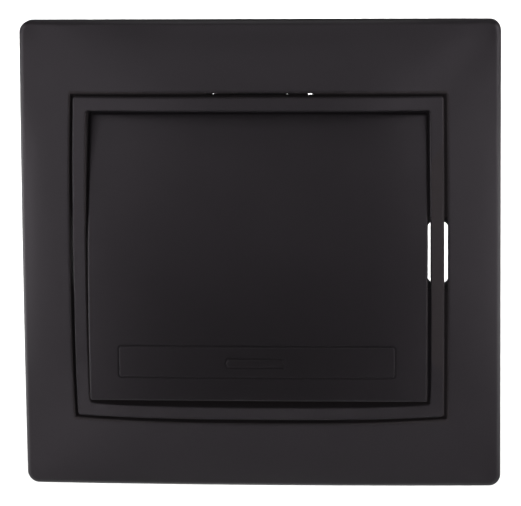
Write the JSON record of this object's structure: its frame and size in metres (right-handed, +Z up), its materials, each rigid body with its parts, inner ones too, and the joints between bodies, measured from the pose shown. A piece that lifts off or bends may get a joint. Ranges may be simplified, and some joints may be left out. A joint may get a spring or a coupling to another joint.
{
  "type": "light switch",
  "caption": "Flush single-gang light switch in satin black: square pillowed frame, insert ring and wide rocker key with a raised label field, on a steel support plate with claws.",
  "frame": {"origin": "middle of the 60 mm screw pattern, on the wall plane behind the support plate", "axes": "+Z up the wall, -Y out of the wall towards the user, +X to the user's right"},
  "size_m": [0.0812, 0.0365, 0.0797],
  "materials": {
    "outer_frame": "soft velvet grain, painted black",
    "inner_bezel": "soft velvet grain, painted black",
    "rocker_key": "soft velvet grain, painted black",
    "support_plate": "zinc plated",
    "mechanism_cover": "moulded, satin",
    "mechanism_base": "moulded, satin",
    "rocker_cradle": "moulded, satin",
    "plunger": "moulded, satin",
    "plunger_spring": "drawn spring wire",
    "moving_contact": "rolled strip",
    "moving_tip": "silver alloy",
    "fixed_contact": "rolled strip",
    "fixed_tip": "silver alloy",
    "common_contact": "rolled strip",
    "cover_screws": "zinc plated",
    "line_clamp": "zinc plated",
    "load_clamp": "zinc plated",
    "line_screw": "zinc plated",
    "load_screw": "zinc plated",
    "claw_right": "zinc plated",
    "claw_left": "zinc plated",
    "claw_nut_right": "zinc plated",
    "claw_nut_left": "zinc plated",
    "claw_screw_right": "zinc plated",
    "claw_screw_left": "zinc plated"
  },
  "bodies": {
    "mechanism": {"outer_frame": "outer_frame", "inner_bezel": "inner_bezel", "support_plate": "support_plate", "mechanism_cover": "mechanism_cover", "mechanism_base": "mechanism_base", "fixed_contact": "fixed_contact", "fixed_tip": "fixed_tip", "common_contact": "common_contact", "cover_screws": "cover_screws"},
    "rocker": {"rocker_key": "rocker_key", "rocker_cradle": "rocker_cradle", "plunger_spring": "plunger_spring"},
    "plunger": {"plunger": "plunger"},
    "contact_arm": {"moving_contact": "moving_contact", "moving_tip": "moving_tip"},
    "line_clamp": {"line_clamp": "line_clamp"},
    "line_screw": {"line_screw": "line_screw"},
    "load_clamp": {"load_clamp": "load_clamp"},
    "load_screw": {"load_screw": "load_screw"},
    "claw_right": {"claw_right": "claw_right"},
    "claw_left": {"claw_left": "claw_left"},
    "claw_nut_right": {"claw_nut_right": "claw_nut_right"},
    "claw_nut_left": {"claw_nut_left": "claw_nut_left"},
    "claw_screw_right": {"claw_screw_right": "claw_screw_right"},
    "claw_screw_left": {"claw_screw_left": "claw_screw_left"}
  },
  "joints": [
    {"name": "rocker_hinge", "type": "hinge", "parent": "mechanism", "child": "rocker", "pos_m": [0, -0.0068, 0], "axis": [1, 0, 0], "range_deg": [0, 14.14]},
    {"name": "contact_rock", "type": "hinge", "parent": "mechanism", "child": "contact_arm", "pos_m": [0, 0.0067, 0], "axis": [1, 0, 0], "range_deg": [-18.05, 0.05]},
    {"name": "plunger_slide", "type": "slide", "parent": "rocker", "child": "plunger", "axis": [0, -0.9924, 0.1231], "range_m": [0, 0.0008], "stiffness_N_per_m": 500, "deforming": ["plunger_spring"]},
    {"name": "line_clamp_slide", "type": "slide", "parent": "mechanism", "child": "line_clamp", "axis": [0, -1, 0], "range_m": [0, 0.0024]},
    {"name": "line_screw_turn", "type": "hinge", "parent": "line_clamp", "child": "line_screw", "pos_m": [0, 0.0216, -0.013], "axis": [0, -1, 0], "range_deg": [0, 1441]},
    {"name": "load_clamp_slide", "type": "slide", "parent": "mechanism", "child": "load_clamp", "axis": [0, -1, 0], "range_m": [0, 0.0024]},
    {"name": "load_screw_turn", "type": "hinge", "parent": "load_clamp", "child": "load_screw", "pos_m": [0, 0.0216, 0.013], "axis": [0, -1, 0], "range_deg": [0, 1441]},
    {"name": "claw_screw_right_turn", "type": "hinge", "parent": "mechanism", "child": "claw_screw_right", "pos_m": [0.0242, 0, 0], "axis": [0, 1, 0], "range_deg": [0, 2341]},
    {"name": "claw_nut_right_slide", "type": "slide", "parent": "mechanism", "child": "claw_nut_right", "axis": [0, -1, 0], "range_m": [0, 0.00325]},
    {"name": "claw_right_swing", "type": "hinge", "parent": "mechanism", "child": "claw_right", "pos_m": [0.02, 0.00155, 0], "axis": [0, 0, -1], "range_deg": [0, 26.05]},
    {"name": "claw_screw_left_turn", "type": "hinge", "parent": "mechanism", "child": "claw_screw_left", "pos_m": [-0.0242, 0, 0], "axis": [0, 1, 0], "range_deg": [0, 2341]},
    {"name": "claw_nut_left_slide", "type": "slide", "parent": "mechanism", "child": "claw_nut_left", "axis": [0, -1, 0], "range_m": [0, 0.00325]},
    {"name": "claw_left_swing", "type": "hinge", "parent": "mechanism", "child": "claw_left", "pos_m": [-0.02, 0.00155, 0], "axis": [0, 0, 1], "range_deg": [0, 26.05]}
  ],
  "couplings": [
    {"joint": "contact_rock", "follows": "rocker_hinge", "ratio": -1.273},
    {"joint": "line_screw_turn", "follows": "line_clamp_slide", "rad_per_m": 10472},
    {"joint": "load_screw_turn", "follows": "load_clamp_slide", "rad_per_m": 10472},
    {"joint": "claw_screw_right_turn", "follows": "claw_nut_right_slide", "rad_per_m": 12566},
    {"joint": "claw_right_swing", "follows": "claw_nut_right_slide", "rad_per_m": 139.63},
    {"joint": "claw_screw_left_turn", "follows": "claw_nut_left_slide", "rad_per_m": 12566},
    {"joint": "claw_left_swing", "follows": "claw_nut_left_slide", "rad_per_m": 139.63}
  ]
}
